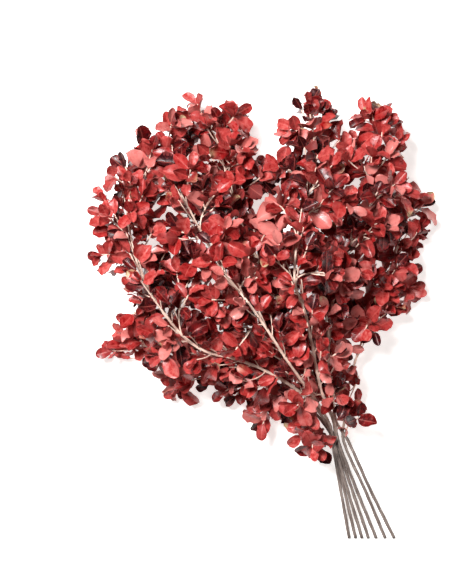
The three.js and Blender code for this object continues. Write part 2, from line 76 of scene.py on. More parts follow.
# How far single leaves differ. Each range is its least value and its spread.
LENGTH_SHARE = (0.86, 0.26)
WIDTH_SHARE = (0.85, 0.3)
UNEVEN = (-0.35, 0.7)
FORM = {"bend": (-0.95, 1.5), "cup": (0.1, 0.5), "twist": (-0.4, 0.8), "wave": (0, 0.25)}
FULL_TURN = (0, 2 * math.pi)
WHOLE = (0, 1)

# A leaf's upper face looks partly along its shoot and mostly up to the light.
FACES_ALONG_SHOOT = 0.55
FACES_UP = 1.1

# Wood gets thinner from the cut end to the last shoot.
STEM_RADII = (2.9, 1.3)
TWIG_RADII = (1.3, 1.0)
SHOOT_RADIUS = 1.0
SHOOT_LENGTH = 34

# A twig starts between its stem's direction and the straight way to its tip.
TWIG_ALONG_STEM = 0.28
TWIG_STRAIGHT = 0.22
TWIG_BENDS = [
    (0, 0), (9, 0), (-9, 0), (0, 9), (0, -9), (18, 0), (-18, 0), (18, 18), (18, -18),
]
FORK_LENGTH = 14

# A shoot leaves its twig at this angle and then bends along it.
SHOOT_ANGLE = 0.85
SHOOT_LENGTH_SHARE = (0.8, 0.4)
SHOOT_OUT = 0.8
SHOOT_ALONG = 0.35
SHOOT_TURN_PER_TRY = 0.8
SHOOT_LEAST_HEIGHT = 10
SHOOT_STATIONS = (0.36, 0.57)

# Growth follows the golden angle. A rosette's inmost leaf lies close to the shoot's line.
# The others open out down the shoot in pairs, each pair at one place on it.
GOLDEN_ANGLE = math.radians(137.5)
ROSETTE_DEPTH = 11
INMOST_PITCH = math.radians(22)
PITCH_SPREAD = math.radians(60)
INMOST_LENGTH_SHARE = 0.74
INMOST_BELOW_TIP = 1
ROSETTE_ORDER = 3
TWIG_ROSETTE = 8
SHOOT_ROSETTE = 7

# The solids hold the first few leaves of each rosette, and these keep more room than the rest.
LEAVES_IN_SOLID = 3
CLEAR_OF_OTHERS = 6.5
CLEAR_OF_OWN = 5.5
CLEAR_AT_STALK = 3.4
STALK_SHARE = 0.3
CLEAR_OF_SURFACE = 0.8
CLEAR_OF_WOOD = 1.2
BEAD_STEP = 3
BEADS = (np.array([0.2, 0.36, 0.52, 0.68, 0.84, 1]), np.array([-0.8, 0, 0.8]))
TRIES = 8
LEAF_TURN_PER_TRY = 0.45

# A side leaf leaves its shoot at no less than the angle with the first cosine.
# Seen along the shoot, the leaves of a pair stand apart by no less than that with the second.
LEAST_OPENING = 0.7
LEAST_APART = -0.2

# The leaves that are added here stand closer, so more beads stand for each leaf.
FINE_BEADS = (np.linspace(0.12, 1, 9), np.linspace(-0.9, 0.9, 5))
FINE_BEAD_STEP = 1.5
FINE_CLEAR_OF_LEAVES = 2.3
FINE_CLEAR_AT_STALK = 0.8
FINE_CLEAR_OF_WOOD = 0.9
FINE_TRIES = 10
SHORTER_PER_TRY = 0.025
ADDED_UNEVEN = (-0.85, 1.7)
ADDED_FORM = {"bend": (-1.5, 2.5), "cup": (0.1, 0.9), "twist": (-0.8, 1.6), "wave": (0.1, 0.6)}
ADDED_LEAF_SPACING = 11
ADDED_LEAF_PITCH = (0.75, 0.5)
ADDED_LENGTH_SHARE = (0.86, 0.3)
BARE_ON_TWIG = 12
BARE_ON_SHOOT = 6

# Added leaves keep this far inside the solids' box, in millimetres. What is still nearer to one of
# its sides than the second value, in metres, is squeezed in.
BOX_MARGIN = 1.2
SQUEEZED = 0.0012

# More leafy shoots grow from stems and twigs, each towards the emptiest side.
FREE_ON_STEM = {"spacing": 11, "lengths": (24, 34)}
FREE_ON_TWIG = {"spacing": 13, "lengths": (18, 20)}
FREE_FIRST_ON_STEM = 205
FREE_FROM_TWIG_ENDS = 14
FREE_TURNS = 9
FREE_ANGLES = (0.7, 1.15)
FREE_ROSETTE = 6
FREE_LEAST_LEAVES = 3
FREE_BARE = 5
PROBE_ROOM = 17
OUT_OF_PARENT = 7

# The outline of the foliage as the camera sees it at this height, read off the photograph where
# it shows the bunch and rounded off where it doesn't.
OUTLINE_HEIGHT = 90
CAMERA_ABOVE_OUTLINE = 2200
CAMERA_OVER = (-48, 40.5)
OUTLINE = [
    (-112, 333), (-93, 334), (-75, 320), (-54, 324), (-39, 330), (-21, 326), (-21, 302),
    (-3, 296), (0, 264), (6, 236), (18, 243), (28, 264), (33, 286), (34, 314), (48, 315),
    (51, 297), (66, 298), (69, 348), (92, 346), (96, 324), (112, 332), (126, 316), (141, 309),
    (148, 302), (158, 321), (180, 332), (204, 322), (219, 298), (240, 260), (258, 220),
    (270, 178), (273, 140), (264, 100), (258, 64), (243, 28), (219, 2), (192, -16), (165, -22),
    (141, -32), (134, -64), (159, -80), (153, -98), (138, -104), (144, -128), (147, -152),
    (150, -176), (138, -190), (126, -200), (117, -220), (96, -218), (72, -200), (63, -176),
    (42, -170), (33, -152), (6, -158), (-9, -140), (-33, -128), (-45, -110), (-63, -98),
    (-87, -110), (-120, -112), (-141, -98), (-162, -82), (-177, -64), (-219, -57), (-231, -34),
    (-213, -16), (-195, -4), (-186, 16), (-198, 34), (-204, 56), (-225, 70), (-252, 68),
    (-258, 86), (-237, 104), (-228, 118), (-249, 140), (-261, 160), (-258, 190), (-240, 202),
    (-219, 194), (-210, 214), (-207, 242), (-186, 266), (-162, 272), (-147, 290), (-129, 310),
]

# Places inside the outline that stay open, each with its radius.
OPEN_PLACES = [(-139, 158, 12)]

# No added leaf lies over these stems between these shares of their length, so that they show,
# nor over the twigs of these sprays.
SHOWN_STEMS = {1: (0.3, 0.9), 3: (0.3, 0.9), 5: (0.3, 0.72), 6: (0.3, 0.5)}
SHOWN_SPRAYS = [(1, 6), (3, 2), (5, 2), (5, 3)]
SHOWN_ON_TWIG = (0, 0.8)
SHOWN_STEP = 4
SHOWN_MARGIN = 1.8

# Curves are measured in the same steps as the solids' curves.
TANGENT_STEP = 0.0001
LENGTH_STEPS = 200

# Beads are sorted into cubes, and looked for no further off than the widest room.
CUBE = 14
WIDEST_ROOM = 10
WIDEST_FINE_ROOM = 4

# Every draw repeats. A seed comes from its thing's number, by a factor and a shift of its series.
DRAW_MODULUS = 2147483647
DRAW_FACTOR = 48271
SEED_FACTOR = 7919
SEED_SHIFT = 12345
SPRAY_SEEDS = 100
TWIG_SEEDS = 10
STEM_SHOOT_SEEDS = 10000
ROSETTE_SEEDS = 31
SINGLE_LEAF_SEEDS = 37
SINGLE_LEAF_SHIFT = 7
FREE_OWNERS = 1000000
FREE_SEEDS = 100
RIPPLE_SEEDS = (13, 5)
LOOK_SEEDS = (17, 3)

# These guard against dividing by nothing.
NEARLY_UPRIGHT = 0.01
TINY = 1e-9

UP = np.array([0.0, 0.0, 1.0])

# Each stem's route, from its cut end to its last fork.
ROUTES = [
    [
        (144, -343, 3), (130, -269, 20), (116, -195, 36), (107, -163, 46), (81, -127, 60),
        (49, -100, 76), (6, -75, 94), (-35, -59, 108), (-79, -47, 118), (-113, -23, 124),
        (-145, 17, 126), (-166, 51, 124), (-180, 85, 118), (-189, 121, 110), (-196, 160, 100),
        (-187, 193, 92), (-171, 215, 88),
    ],
    [
        (154, -343, 3), (136, -269, 17), (119, -194, 31), (106, -167, 37), (78, -134, 41),
        (42, -111, 44), (4, -94, 44), (-33, -86, 42), (-69, -86, 38), (-95, -79, 34),
        (-128, -70, 30), (-158, -61, 26), (-176, -56, 23),
    ],
    [
        (164, -343, 3), (141, -269, 22), (119, -194, 41), (109, -159, 52), (88, -124, 74),
        (64, -91, 97), (38, -54, 118), (8, -8, 132), (-17, 27, 138), (-44, 61, 138), (-67, 99, 130),
        (-88, 135, 120), (-106, 171, 108), (-126, 205, 97), (-138, 238, 90),
    ],
    [
        (174, -343, 3), (148, -268, 20), (122.5, -193, 36), (116, -156, 40), (96, -112, 46),
        (69, -51, 52), (37, 16, 56), (6, 77, 58), (-18, 128, 60), (-37, 179, 60), (-51, 232, 60),
        (-63, 276, 58),
    ],
    [
        (186, -343, 3), (155, -268, 22), (125.5, -192, 41), (117, -156, 53), (98, -115, 80),
        (86, -70, 105), (77, -27, 127), (66, 16, 141), (53, 52, 147), (54, 99, 143), (61, 143, 134),
        (72, 185, 122), (81, 229, 108), (82, 271, 97),
    ],
    [
        (214, -343, 3), (176, -267, 20), (141, -191, 38), (120.5, -156, 42.5), (114, -109, 54),
        (108, -62, 68), (106, -16, 80), (113, 29, 88), (126, 76, 92), (142, 121, 92),
        (161, 170, 86), (177, 220, 78), (184, 262, 70),
    ],
    [
        (200, -343, 3), (168, -268, 17), (134, -192, 33), (134, -156, 36), (139, -113, 37),
        (151, -64, 38), (170, -10, 38), (192, 44, 36), (211, 95, 34), (224, 137, 32),
    ],
]

# Each stem's sprays. A spray has the place on the route that it grows from, counted in route
# points, and then where its twig ends. So has each shoot that grows straight from the stem.
SPRAYS = [
    [
        (16, -162, 251, 84), (15, -194, 206, 104), (12.6, -230, 156, 106), (12.2, -226, 84, 92),
        (14.2, -178, 148, 76), (9, -82, 90, 134), (10.2, -183, 1, 84), (8.6, -130, -37, 138),
        (11, -123, 85, 104), (3.6, 87, -203, 58),
    ],
    [
        (12, -208, -40, 18), (10.5, -183, -22, 44), (8.6, -128, -106, 18), (7.3, -48, -74, 76),
        (5.8, -33, -120, 24), (5, 7, -157, 22), (8.3, -96, -6, 28),
    ],
    [
        (14, -129, 287, 84), (10.9, -61, 188, 126), (12, -98, 226, 126), (10.3, -116, 129, 132),
        (9, -72, 86, 158), (8, -55, 14, 146), (7, -27, -33, 124), (8.4, -1, 70, 150),
    ],
    [
        (11, -102, 309, 40), (10.6, -33, 309, 72), (9.6, -22, 256, 92), (8.95, 18, 216, 44),
        (8, -83, 158, 30), (6.25, -27, 26, 22), (6.6, 53, 111, 24),
    ],
    [
        (13, 80, 321, 90), (8, 16, 90, 160), (8.1, 103, 67, 160), (10, 123, 175, 150),
        (10.7, 102, 222, 138), (11.3, 33, 226, 96), (12.6, 52, 284, 102), (5.3, 57, -38, 130),
        (4, 62, -128, 86),
    ],
    [
        (12, 166, 312, 50), (10.5, 134, 258, 84), (9.6, 204, 201, 108), (8, 124, 52, 130),
        (8.8, 190, 132, 120), (5.3, 131, -51, 30), (3.3, 117, -103, 82),
    ],
    [
        (9, 236, 180, 26), (8, 176, 139, 20), (7, 240, 44, 20), (6.35, 162, -16, 80),
        (2.2, 142, -146, 52),
    ],
]
SHOOTS = [
    [(9.6, -173, 58, 155), (13.3, -187, 158, 142)],
    [(4.5, 28, -74, 22), (6.6, -40, -58, 24)],
    [(11.5, -112, 180, 78)],
    [(5.7, 19, 15, 83), (6, 56, 54, 42), (7.2, 17, 136, 82), (9.3, -53, 223, 22)],
    [(4.6, 115, -50, 130), (9.4, 30, 170, 124)],
    [(5.8, 80, 9, 64), (9.2, 132, 169, 68), (11.1, 202, 258, 52)],
    [(6.65, 193, 50, 66)],
]


def draws_from(seed):
    """Repeatable draws, each from a range given as its least value and its spread."""
    state = (seed * SEED_FACTOR + SEED_SHIFT) % DRAW_MODULUS

    def draw(span):
        nonlocal state
        state = state * DRAW_FACTOR % DRAW_MODULUS
        return span[0] + span[1] * state / DRAW_MODULUS

    return draw


def leaf_draws(leaf, series):
    """The draws of one series for a leaf."""
    factor, shift = series
    return draws_from(leaf.seed * factor + shift)


def unit(vector):
    """A vector's direction."""
    return vector / np.linalg.norm(vector)


def square_to(vector, axis):
    """The direction of what a vector has square to an axis."""
    return unit(vector - vector.dot(axis) * axis)


def sides_of(axis):
    """Two unit vectors square to an axis, the first of them level."""
    level = np.cross(axis, UP)
    if np.linalg.norm(level) < NEARLY_UPRIGHT:
        level = np.array([1.0, 0.0, 0.0])
    level = unit(level)
    return level, unit(np.cross(level, axis))


def leaning(axis, azimuth, pitch):
    """A direction that leans away from an axis by pitch, on the side that azimuth gives."""
    level, raised = sides_of(axis)
    out = level * math.cos(azimuth) + raised * math.sin(azimuth)
    return axis * math.cos(pitch) + out * math.sin(pitch)


class Curve:
    """A curve known by its points at shares of its way, with its spans and its length."""

    def __init__(self, points_at, spans=1):
        self.points_at = points_at
        self.spans = spans
        steps = points_at(np.linspace(0, 1, LENGTH_STEPS + 1))
        self.length = np.linalg.norm(np.diff(steps, axis=0), axis=1).sum()

    def at(self, part):
        return self.points_at(np.array([part]))[0]

    def tangent(self, part):
        ends = self.points_at(np.array([max(part - TANGENT_STEP, 0), min(part + TANGENT_STEP, 1)]))
        return unit(ends[1] - ends[0])

    def steps(self, spacing):
        """Points along the curve, no further apart than the spacing."""
        return self.points_at(np.linspace(0, 1, math.ceil(self.length / spacing) + 1))


def smooth_route(route):
    """The smooth curve through a route's points, carried on straight past both ends."""
    points = np.array(route, float)
    held = np.vstack([2 * points[0] - points[1], points, 2 * points[-1] - points[-2]])
    spans = len(points) - 1

    def points_at(parts):
        place = parts * spans
        span = np.minimum(place.astype(int), spans - 1)
        share = (place - span)[:, None]
        before, start, end, after = (held[span + step] for step in range(4))
        slope_in = (end - before) / 2
        slope_out = (after - start) / 2
        square = -3 * start + 3 * end - 2 * slope_in - slope_out
        cube = 2 * start - 2 * end + slope_in + slope_out
        return start + slope_in * share + square * share**2 + cube * share**3

    return Curve(points_at, spans)


def bow(start, middle, end):
    """The curve from start to end that is drawn towards its middle point."""

    def points_at(parts):
        share = parts[:, None]
        return start * (1 - share) ** 2 + middle * 2 * (1 - share) * share + end * share**2

    return Curve(points_at)


@dataclass
class Wood:
    """A stem, twig or shoot."""

    curve: Curve
    ends: tuple
    owner: int
    seed: int
    rosette: int = 0
    bare: float = 0
    leaves: list = field(default_factory=list)
    forks: list = field(default_factory=list)
    shoots: list = field(default_factory=list)
    free: list = field(default_factory=list)

    def leafy(self):
        """The leafy wood of this twig or stem: itself, its shoots, and all their free shoots."""
        own = ([self] if self.rosette else []) + self.shoots
        return own + self.free + [shoot for wood in self.shoots for shoot in wood.free]

    def radii(self, count):
        return np.linspace(*self.ends, count)


@dataclass
class Seat:
    """A place on wood for a leaf."""

    part: float
    point: np.ndarray
    axis: np.ndarray
    azimuth: float
    pitch: float
    length: float
    seed: int


@dataclass
class Leaf:
    """A leaf's place, directions and form."""

    part: float
    root: np.ndarray
    heading: np.ndarray
    normal: np.ndarray
    side: np.ndarray
    length: float
    half_width: float
    bend: float
    cup: float
    twist: float
    wave: float
    wave_phase: float
    seed: int


# Columns of a bead's row: its place, its radius, which is 0 for leaves, its owner's number,
# and how far along its leaf it lies.
PLACE = slice(0, 3)
RADIUS = 3
OWNER = 4
ALONG = 5
BEAD_COLUMNS = 6


class Room:
    """The room that wood and leaves have taken, as beads sorted into cubes."""

    def __init__(self, shown=None, bounds=None):
        self.cubes = {}
        self.shown = shown
        self.bounds = bounds

    def holds(self, points):
        """True where all points lie in the bounds and, as seen by the camera, in the outline."""
        low, high = self.bounds
        return (points >= low).all() and (points <= high).all() and is_in_outline(points)

    def hides_shown(self, points):
        """True where a point lies over the wood that stays shown."""
        gaps = np.linalg.norm(points[:, None, :2] - self.shown[None, :, :2], axis=2)
        return ((gaps < SHOWN_MARGIN) & (points[:, None, 2] > self.shown[None, :, 2])).any()

    def take(self, points, radii, owner, along):
        rows = np.zeros((len(points), BEAD_COLUMNS))
        rows[:, PLACE] = points
        rows[:, RADIUS] = radii
        rows[:, OWNER] = owner
        rows[:, ALONG] = along
        keys = np.floor(points / CUBE).astype(int)
        for key in set(map(tuple, keys)):
            mine = rows[(keys == key).all(axis=1)]
            held = self.cubes.get(key)
            self.cubes[key] = mine if held is None else np.vstack([held, mine])

    def near(self, points, widest=WIDEST_ROOM):
        """The rows of the beads near some points, and their distances, a row for each point."""
        low = points.min(axis=0) - widest
        high = points.max(axis=0) + widest
        spans = [range(math.floor(a / CUBE), math.floor(b / CUBE) + 1) for a, b in zip(low, high)]
        found = [self.cubes[key] for key in itertools.product(*spans) if key in self.cubes]
        rows = np.concatenate(found) if found else np.zeros((0, BEAD_COLUMNS))
        rows = rows[((rows[:, PLACE] > low) & (rows[:, PLACE] < high)).all(axis=1)]
        return rows, np.linalg.norm(points[:, None] - rows[None, :, PLACE], axis=2)

    def near_leaf(self, along, points, widest=WIDEST_ROOM):
        """The beads near a leaf's, their distances, which are wood and which meet at a stalk."""
        rows, distances = self.near(points, widest)
        is_wood = rows[:, RADIUS] > 0
        is_stalk = (along[:, None] < STALK_SHARE) | ~is_wood & (rows[:, ALONG] < STALK_SHARE)
        return rows, distances, is_wood, is_stalk


def leaf_outline(along, fullness=OUTLINE_FULLNESS):
    """Half a leaf's width at a share of its length, as a share of its greatest half width."""
    return np.maximum(np.sin(math.pi * along**OUTLINE_LEAN), 0) ** fullness


def on_leaf(leaf, along, sideways, lift):
    """Points of a leaf that lie along, sideways of its rib and lifted off its bent middle."""
    turn = leaf.bend * along
    forward = leaf.length * np.sin(turn) / leaf.bend
    rise = leaf.length * (1 - np.cos(turn)) / leaf.bend
    twist = leaf.twist * along
    across = sideways * np.cos(twist) - lift * np.sin(twist)
    upwards = sideways * np.sin(twist) + lift * np.cos(twist)
    return (
        leaf.root
        + leaf.heading * (forward - upwards * np.sin(turn))[..., None]
        + leaf.normal * (rise + upwards * np.cos(turn))[..., None]
        + leaf.side * across[..., None]
    )


def cup_lift(leaf, along, across, half_width):
    """How far a leaf's cup and its waves lift it off its middle."""
    ripple = np.sin(leaf.wave_phase + WAVE_ALONG * along + WAVE_ACROSS * across)
    return half_width * across**2 * (leaf.cup + leaf.wave * ripple * along)


def leaf_beads(leaf, beads_along, beads_across):
    """Points spread over a leaf that stand for it when room is tested, and their shares."""
    along, across = (grid.ravel() for grid in np.meshgrid(beads_along, beads_across, indexing="ij"))
    half_width = np.maximum(leaf.half_width * leaf_outline(along), LEAF_STALK_WIDTH / 2)
    lift = cup_lift(leaf, along, across, half_width)
    return along, on_leaf(leaf, along, across * half_width, lift)


def leaf_at(seat, attempt, added):
    """A leaf at a seat on its shoot, turned a little further at each try."""
    draw = draws_from(seat.seed)
    azimuth = seat.azimuth + LEAF_TURN_PER_TRY * math.ceil(attempt / 2) * (1 if attempt % 2 else -1)
    length = seat.length * draw(LENGTH_SHARE)
    if added:
        length *= 1 - SHORTER_PER_TRY * attempt
    heading = leaning(seat.axis, azimuth, seat.pitch)
    heading[2] = max(heading[2], (CLEAR_OF_SURFACE - seat.point[2]) / length)
    heading = unit(heading)
    normal = leaning(seat.axis, azimuth, seat.pitch - math.pi / 2) * FACES_ALONG_SHOOT
    normal = normal + UP * FACES_UP
    uneven, form = (ADDED_UNEVEN, ADDED_FORM) if added else (UNEVEN, FORM)
    normal = normal + np.array([draw(uneven), draw(uneven), draw(uneven)])
    normal = square_to(normal, heading)
    return Leaf(
        part=seat.part,
        root=seat.point,
        heading=heading,
        normal=normal,
        side=np.cross(normal, heading),
        length=length,
        half_width=length * LEAF_WIDTH_TO_LENGTH * draw(WIDTH_SHARE) / 2,
        **{trait: draw(span) for trait, span in form.items()},
        wave_phase=draw(FULL_TURN),
        seed=seat.seed,
    )


def is_in_outline(points):
    """True where the camera sees all points in the outline and off the open places."""
    nearer = CAMERA_ABOVE_OUTLINE / (CAMERA_ABOVE_OUTLINE + OUTLINE_HEIGHT - points[:, 2])
    x, y = ((points[:, :2] - CAMERA_OVER) * nearer[:, None] + CAMERA_OVER).T
    for open_x, open_y, radius in OPEN_PLACES:
        if (np.hypot(x - open_x, y - open_y) < radius).any():
            return False
    start = np.array(OUTLINE, float)
    end = np.roll(start, -1, axis=0)
    spans_y = (start[:, 1] > y[:, None]) != (end[:, 1] > y[:, None])
    slope = (end[:, 0] - start[:, 0]) / (end[:, 1] - start[:, 1] + TINY)
    crossing = start[:, 0] + slope * (y[:, None] - start[:, 1])
    return ((spans_y & (x[:, None] < crossing)).sum(axis=1) % 2 == 1).all()


def stands_apart(leaf, seat, before):
    """True where a solid's leaf opens out far enough and leaves room to the other of its pair."""
    if leaf.part < 1 and leaf.heading.dot(seat.axis) >= LEAST_OPENING:
        return False
    out = square_to(leaf.heading, seat.axis)
    mates = [mate for mate in before if mate.part == seat.part]
    return all(out.dot(square_to(mate.heading, seat.axis)) < LEAST_APART for mate in mates)


def place_leaf(seat, owner, room, before):
    """Tries a solid's leaf until it is clear, and takes its room. Gives None where it never is."""
    for attempt in range(TRIES):
        leaf = leaf_at(seat, attempt, added=False)
        along, points = leaf_beads(leaf, *BEADS)
        if not stands_apart(leaf, seat, before) or points[:, 2].min() <= CLEAR_OF_SURFACE:
            continue
        rows, distances, is_wood, is_stalk = room.near_leaf(along, points)
        of_others = CLEAR_OF_OTHERS + np.where(is_wood, rows[:, RADIUS] - SHOOT_RADIUS, 0)
        of_own = np.where(is_stalk, CLEAR_AT_STALK, CLEAR_OF_OWN)
        if (distances >= np.where(rows[:, OWNER] == owner, of_own, of_others)).all():
            room.take(points, 0, owner, along)
            return leaf
    return None


def add_leaf(seat, owner, room, keep=True):
    """Tries an added leaf until it is clear and inside, and takes its room if it is to be kept."""
    for attempt in range(FINE_TRIES):
        leaf = leaf_at(seat, attempt, added=True)
        along, points = leaf_beads(leaf, *FINE_BEADS)
        if not room.holds(points) or room.hides_shown(points):
            continue
        rows, distances, is_wood, is_stalk = room.near_leaf(along, points, WIDEST_FINE_ROOM)
        is_own = rows[:, OWNER] == owner
        least = np.where(is_wood, rows[:, RADIUS] + FINE_CLEAR_OF_WOOD, FINE_CLEAR_OF_LEAVES)
        least = np.where(is_own & is_stalk, np.where(is_wood, 0, FINE_CLEAR_AT_STALK), least)
        if (distances >= least).all():
            if keep:
                room.take(points, 0, owner, along)
            return leaf
    return None


def wood_is_clear(curve, radius, owner, skip_near, room):
    """True where a wood curve keeps clear of all other wood, apart from where it grows out."""
    points = curve.steps(BEAD_STEP)
    if points[:, 2].min() < radius + CLEAR_OF_SURFACE:
        return False
    grown_out = np.linalg.norm(points - points[0], axis=1) >= skip_near
    rows, distances = room.near(points)
    matters = grown_out[:, None] & (rows[:, OWNER] != owner)
    return not (matters & (distances < radius + rows[:, RADIUS] + CLEAR_OF_WOOD)).any()


def take_wood(wood, room, spacing):
    """Takes the room that a wood curve fills."""
    points = wood.curve.steps(spacing)
    room.take(points, wood.radii(len(points)), wood.owner, 0)


def twig_for(stem, spray, owner, room):
    """Where a spray's twig forks off, and the twig, bent until it clears all other wood."""
    place, *end = spray
    part = place / stem.curve.spans
    base = stem.curve.at(part)
    tip = np.array(end, float)
    reach = np.linalg.norm(tip - base)
    straight = unit(tip - base)
    start = stem.curve.tangent(part) * TWIG_ALONG_STEM + straight * TWIG_STRAIGHT
    aside = sides_of(straight)[0]
    for rise, shift in TWIG_BENDS:
        curve = bow(base, base + start * reach + aside * shift + UP * rise, tip)
        if wood_is_clear(curve, TWIG_RADII[0], owner, FORK_LENGTH, room):
            return part, curve
    raise RuntimeError(f"no clear way for twig {owner}")


def shoot_tip(base, axis, out, length):
    """The tip of a shoot that starts outwards and bends back along the wood that bears it."""
    tip = base + out * SHOOT_OUT * length + axis * SHOOT_ALONG * length
    tip[2] = max(tip[2], SHOOT_LEAST_HEIGHT)
    return tip


def shoot_for(twig, part, azimuth, length, owner, room):
    """A shoot that grows off a twig and bends back towards the twig's own direction."""
    base = twig.at(part)
    axis = twig.tangent(part)
    for attempt in range(TRIES):
        out = leaning(axis, azimuth + SHOOT_TURN_PER_TRY * attempt, SHOOT_ANGLE)
        curve = bow(base, base + out * length / 2, shoot_tip(base, axis, out, length))
        if wood_is_clear(curve, SHOOT_RADIUS, owner, 0, room):
            return curve
    return None


def seat_on(curve, part, *traits):
    """A leaf's seat on a curve."""
    return Seat(part, curve.at(part), curve.tangent(part), *traits)


def rosette_seats(curve, count, seed):
    """Seats of the rosette at a shoot's end. The first seats stand evenly round it."""
    turn = draws_from(seed)(FULL_TURN)
    levels = [(index * ROSETTE_ORDER) % count / (count - 1) for index in range(count)]
    seats = []
    for index, level in enumerate(levels):
        pair_level = levels[max(index - 1 + index % 2, 0)]
        part = 1 - (INMOST_BELOW_TIP + ROSETTE_DEPTH * pair_level) / curve.length
        azimuth = turn + index * GOLDEN_ANGLE
        pitch = INMOST_PITCH + PITCH_SPREAD * level
        length = LEAF_LENGTH * (INMOST_LENGTH_SHARE + (1 - INMOST_LENGTH_SHARE) * level)
        seats.append(seat_on(curve, part, azimuth, pitch, length, seed * ROSETTE_SEEDS + index))
    seats[0].part = 1
    return seats


def seats_along(wood, bare, seed):
    """Seats of single leaves along wood, between its bare start and its rosette."""
    draw = draws_from(seed)
    azimuth = draw(FULL_TURN)
    seats = []
    reach = bare
    while reach < wood.curve.length - ROSETTE_DEPTH:
        pitch = draw(ADDED_LEAF_PITCH)
        length = LEAF_LENGTH * draw(ADDED_LENGTH_SHARE)
        leaf_seed = seed * SINGLE_LEAF_SEEDS + len(seats)
        part = reach / wood.curve.length
        seats.append(seat_on(wood.curve, part, azimuth, pitch, length, leaf_seed))
        azimuth += GOLDEN_ANGLE
        reach += ADDED_LEAF_SPACING
    return seats


def lay_shoot(bearer, part, curve, ends, seed, room):
    """Lays out a shoot of some wood, and takes its room."""
    shoot = Wood(curve, ends, bearer.owner, seed, SHOOT_ROSETTE, BARE_ON_SHOOT)
    take_wood(shoot, room, BEAD_STEP)
    bearer.forks.append(part)
    bearer.shoots.append(shoot)


def lay_stem(route, number, room):
    """Lays out one stem, and takes its room."""
    curve = smooth_route(route)
    wood = Wood(curve, STEM_RADII, owner=-number, seed=number)
    take_wood(wood, room, BEAD_STEP)
    return wood


def lay_twig(stem, number, spray, room):
    """Lays out the twig of one spray with its shoots, and takes their room."""
    seed = owner = SPRAY_SEEDS * stem.seed + number
    draw = draws_from(seed)
    part, curve = twig_for(stem, spray, owner, room)
    twig = Wood(curve, TWIG_RADII, owner, seed * TWIG_SEEDS, TWIG_ROSETTE, BARE_ON_TWIG)
    take_wood(twig, room, BEAD_STEP)
    stem.forks.append(part)
    turn = draw(FULL_TURN)
    for index, part in enumerate(SHOOT_STATIONS):
        length = SHOOT_LENGTH * draw(SHOOT_LENGTH_SHARE)
        curve = shoot_for(twig.curve, part, turn + index * GOLDEN_ANGLE, length, owner, room)
        if curve:
            ends = (SHOOT_RADIUS, SHOOT_RADIUS)
            lay_shoot(twig, part, curve, ends, twig.seed + index + 1, room)
    return twig


def lay_stem_shoots(stem, shoots, room):
    """Lays out the shoots that grow straight from a stem, and takes their room."""
    for index, shoot in enumerate(shoots):
        part, curve = twig_for(stem, shoot, stem.owner, room)
        lay_shoot(stem, part, curve, TWIG_RADII, stem.seed * STEM_SHOOT_SEEDS + index, room)


def lay_solid_leaves(wood, room):
    """The leaves that the solid holds on some wood, at the same places."""
    for seat in rosette_seats(wood.curve, wood.rosette, wood.seed)[:LEAVES_IN_SOLID]:
        leaf = place_leaf(seat, wood.owner, room, wood.leaves)
        if leaf:
            wood.leaves.append(leaf)


def lay_added_leaves(wood, room):
    """Fills up the rosette of some wood, and sets single leaves along it."""
    seats = rosette_seats(wood.curve, wood.rosette, wood.seed)[LEAVES_IN_SOLID:]
    seats += seats_along(wood, wood.bare, wood.seed + SINGLE_LEAF_SHIFT)
    leaves = [add_leaf(seat, wood.owner, room) for seat in seats]
    wood.leaves += [leaf for leaf in leaves if leaf]


def free_shoot(parent, part, lengths, owner, room):
    """A shoot from some wood towards its emptiest side, or None where no side is clear."""
    draw = draws_from(owner)
    length = draw(lengths)
    first = draw(FULL_TURN)
    base = parent.curve.at(part)
    axis = parent.curve.tangent(part)
    least_crowd, best = math.inf, None
    for turn, angle in itertools.product(range(FREE_TURNS), FREE_ANGLES):
        out = leaning(axis, first + 2 * math.pi * turn / FREE_TURNS, angle)
        tip = shoot_tip(base, axis, out, length)
        if not room.holds(tip[None]):
            continue
        rows, distances = room.near(tip[None], PROBE_ROOM)
        crowd = (PROBE_ROOM - np.minimum(distances, PROBE_ROOM)).sum()
        if crowd < least_crowd:
            curve = bow(base, base + out * length / 2, tip)
            if wood_is_clear(curve, SHOOT_RADIUS, owner, OUT_OF_PARENT, room):
                least_crowd, best = crowd, curve
    return best and Wood(best, (SHOOT_RADIUS, SHOOT_RADIUS), owner, owner)


def lay_free_shoots(parent, first, last, room, spacing, lengths):
    """Short leafy shoots along some wood. One that finds no room for leaves isn't kept."""
    shoots = []
    count = max(math.floor((last - first) / spacing) + 1, 0)
    for index in range(count):
        part = (first + index * spacing) / parent.curve.length
        owner = FREE_OWNERS + len(parent.free) + parent.seed * FREE_SEEDS + index
        shoot = free_shoot(parent, part, lengths, owner, room)
        if not shoot:
            continue
        seats = rosette_seats(shoot.curve, FREE_ROSETTE, owner)
        seats += seats_along(shoot, FREE_BARE, owner + 1)
        fits = sum(add_leaf(seat, owner, room, keep=False) is not None for seat in seats)
        if fits < FREE_LEAST_LEAVES:
            continue
        take_wood(shoot, room, FINE_BEAD_STEP)
        leaves = [add_leaf(seat, owner, room) for seat in seats]
        shoot.leaves = [leaf for leaf in leaves if leaf]
        parent.forks.append(part)
        shoots.append(shoot)
    parent.free += shoots


def shown_points(stems, twigs):
    """Points along the stretches of stems and twigs that stay shown."""
    shown = [(stems[number - 1], span) for number, span in SHOWN_STEMS.items()]
    shown += [(twigs[number - 1][place - 1], SHOWN_ON_TWIG) for number, place in SHOWN_SPRAYS]
    points = []
    for wood, (first, last) in shown:
        count = math.ceil((last - first) * wood.curve.length / SHOWN_STEP) + 1
        points.append(wood.curve.points_at(np.linspace(first, last, count)))
    return np.vstack(points)


